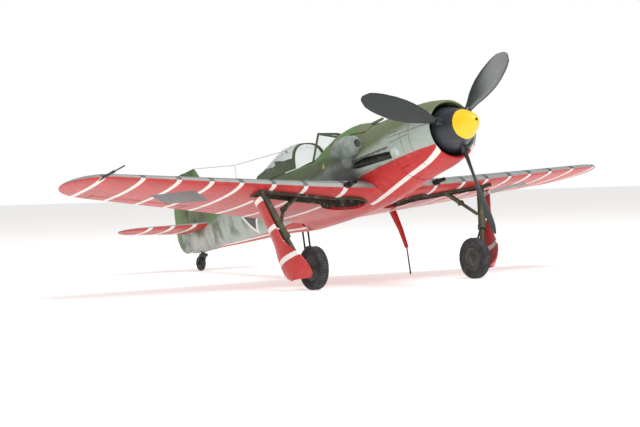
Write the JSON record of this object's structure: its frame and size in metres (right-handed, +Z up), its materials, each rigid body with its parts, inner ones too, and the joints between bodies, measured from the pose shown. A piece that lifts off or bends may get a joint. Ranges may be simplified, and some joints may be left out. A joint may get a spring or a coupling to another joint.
{
  "type": "propeller aeroplane display model",
  "caption": "Display model of a low-wing single-seat propeller fighter on its wheels, with turning propeller, sliding canopy and hinged controls.",
  "frame": {"origin": "on the table, under the middle of the model's box", "axes": "+X towards the nose, +Y to port, +Z up from the table; the model rests tail-down on its three wheels"},
  "size_m": [0.2107, 0.2188, 0.0765],
  "materials": {
    "blade_black": "satin",
    "body_paint": "satin painted styrene",
    "clear_plastic": "clear",
    "cockpit_grey": "matte",
    "dark_metal": "satin",
    "exhaust_metal": "weathered",
    "frame_green": "satin",
    "gear_green": "satin",
    "green_paint": "satin painted styrene",
    "grey_paint": "satin",
    "hub_grey": "matte",
    "radiator": "matte",
    "red_paint": "satin painted styrene",
    "steel": "plain",
    "tyre_black": "matte",
    "wire_grey": "plain",
    "yellow_paint": "satin painted styrene"
  },
  "bodies": {
    "fuselage": {"fuselage_left": "body_paint", "fuselage_right": "body_paint", "cowl_ring": "green_paint", "cooling_flap_ring": "green_paint", "radiator_core": "radiator", "gearbox_housing": "radiator", "gun_cover": "body_paint", "supercharger_intake": "grey_paint", "exhaust_left": "exhaust_metal", "exhaust_right": "exhaust_metal", "side_blister": "grey_paint", "wing_lower": "red_paint", "left_wing_upper": "green_paint", "right_wing_upper": "green_paint", "wing_cannon_barrels": "dark_metal", "pitot_tube": "dark_metal", "left_well_liner": "gear_green", "right_well_liner": "gear_green", "left_gear_strut": "gear_green", "right_gear_strut": "gear_green", "left_gear_door": "red_paint", "right_gear_door": "red_paint", "torque_links": "gear_green", "side_braces": "frame_green", "left_stabiliser": "green_paint", "right_stabiliser": "green_paint", "windscreen_frame": "frame_green", "windscreen_glass": "clear_plastic", "rear_deck": "body_paint", "cockpit_tub": "cockpit_grey", "pilot_seat": "cockpit_grey", "instrument_panel": "cockpit_grey", "control_stick": "cockpit_grey", "antenna_wire": "wire_grey", "ventral_mast": "red_paint"},
    "propeller": {"propeller_shaft": "steel", "spinner_cap": "yellow_paint", "spinner_base": "blade_black", "propeller_blade_a": "blade_black", "propeller_blade_b": "blade_black", "propeller_blade_c": "blade_black"},
    "left_wheel": {"left_wheel_hub": "hub_grey", "left_tyre": "tyre_black"},
    "right_wheel": {"right_wheel_hub": "hub_grey", "right_tyre": "tyre_black"},
    "tail_yoke": {"tail_wheel_yoke": "gear_green"},
    "tail_wheel": {"tail_wheel_hub": "hub_grey", "tail_tyre": "tyre_black"},
    "canopy": {"canopy_frame": "frame_green", "canopy_glass": "clear_plastic", "headrest_armour": "cockpit_grey"},
    "left_aileron": {"left_aileron": "green_paint"},
    "right_aileron": {"right_aileron": "green_paint"},
    "left_flap": {"left_flap": "red_paint"},
    "right_flap": {"right_flap": "red_paint"},
    "elevator": {"left_elevator": "green_paint", "right_elevator": "green_paint", "elevator_torque_tube": "steel"},
    "rudder": {"rudder": "green_paint"},
    "step": {"boarding_step": "dark_metal"}
  },
  "joints": [
    {"name": "propeller_spin", "type": "hinge", "parent": "fuselage", "child": "propeller", "pos_m": [0.0951, 0, 0.0513], "axis": [0.98, 0, 0.199], "continuous": true},
    {"name": "left_wheel_spin", "type": "hinge", "parent": "fuselage", "child": "left_wheel", "pos_m": [0.06026, 0.03333, 0.00719], "axis": [0, 1, 0], "continuous": true},
    {"name": "right_wheel_spin", "type": "hinge", "parent": "fuselage", "child": "right_wheel", "pos_m": [0.06026, -0.03333, 0.00719], "axis": [0, 1, 0], "continuous": true},
    {"name": "tail_wheel_swivel", "type": "hinge", "parent": "fuselage", "child": "tail_yoke", "pos_m": [-0.07984, 0, 0.00726], "axis": [-0.199, 0, 0.98], "range_deg": [-45, 45]},
    {"name": "tail_wheel_spin", "type": "hinge", "parent": "tail_yoke", "child": "tail_wheel", "pos_m": [-0.08221, 0, 0.00323], "axis": [0, 1, 0], "continuous": true},
    {"name": "canopy_slide", "type": "slide", "parent": "fuselage", "child": "canopy", "axis": [0.9864, 0, 0.1646], "range_m": [0, 0.0118]},
    {"name": "left_aileron_hinge", "type": "hinge", "parent": "fuselage", "child": "left_aileron", "pos_m": [0.02442, 0.06146, 0.0298], "axis": [0.0789, 0.9905, 0.1123], "range_deg": [-17, 17]},
    {"name": "right_aileron_hinge", "type": "hinge", "parent": "fuselage", "child": "right_aileron", "pos_m": [0.02442, -0.06146, 0.0298], "axis": [0.0789, -0.9905, 0.1123], "range_deg": [-17, 17]},
    {"name": "left_flap_hinge", "type": "hinge", "parent": "fuselage", "child": "left_flap", "pos_m": [0.0208, 0.015, 0.02313], "axis": [-0.0724, -0.9897, -0.1236], "range_deg": [0, 58]},
    {"name": "right_flap_hinge", "type": "hinge", "parent": "fuselage", "child": "right_flap", "pos_m": [0.0208, -0.015, 0.02313], "axis": [0.0724, -0.9897, 0.1236], "range_deg": [0, 58]},
    {"name": "elevator_hinge", "type": "hinge", "parent": "fuselage", "child": "elevator", "pos_m": [-0.08171, 0, 0.01751], "axis": [0, 1, 0], "range_deg": [-25, 30]},
    {"name": "rudder_hinge", "type": "hinge", "parent": "fuselage", "child": "rudder", "pos_m": [-0.09276, 0, 0.02377], "axis": [-0.199, 0, 0.98], "range_deg": [-30, 30]},
    {"name": "step_slide", "type": "slide", "parent": "fuselage", "child": "step", "axis": [-0.199, 0, 0.98], "range_m": [0, 0.0056]}
  ],
  "couplings": [
    {"joint": "right_aileron_hinge", "follows": "left_aileron_hinge", "ratio": 1},
    {"joint": "right_flap_hinge", "follows": "left_flap_hinge", "ratio": 1}
  ]
}
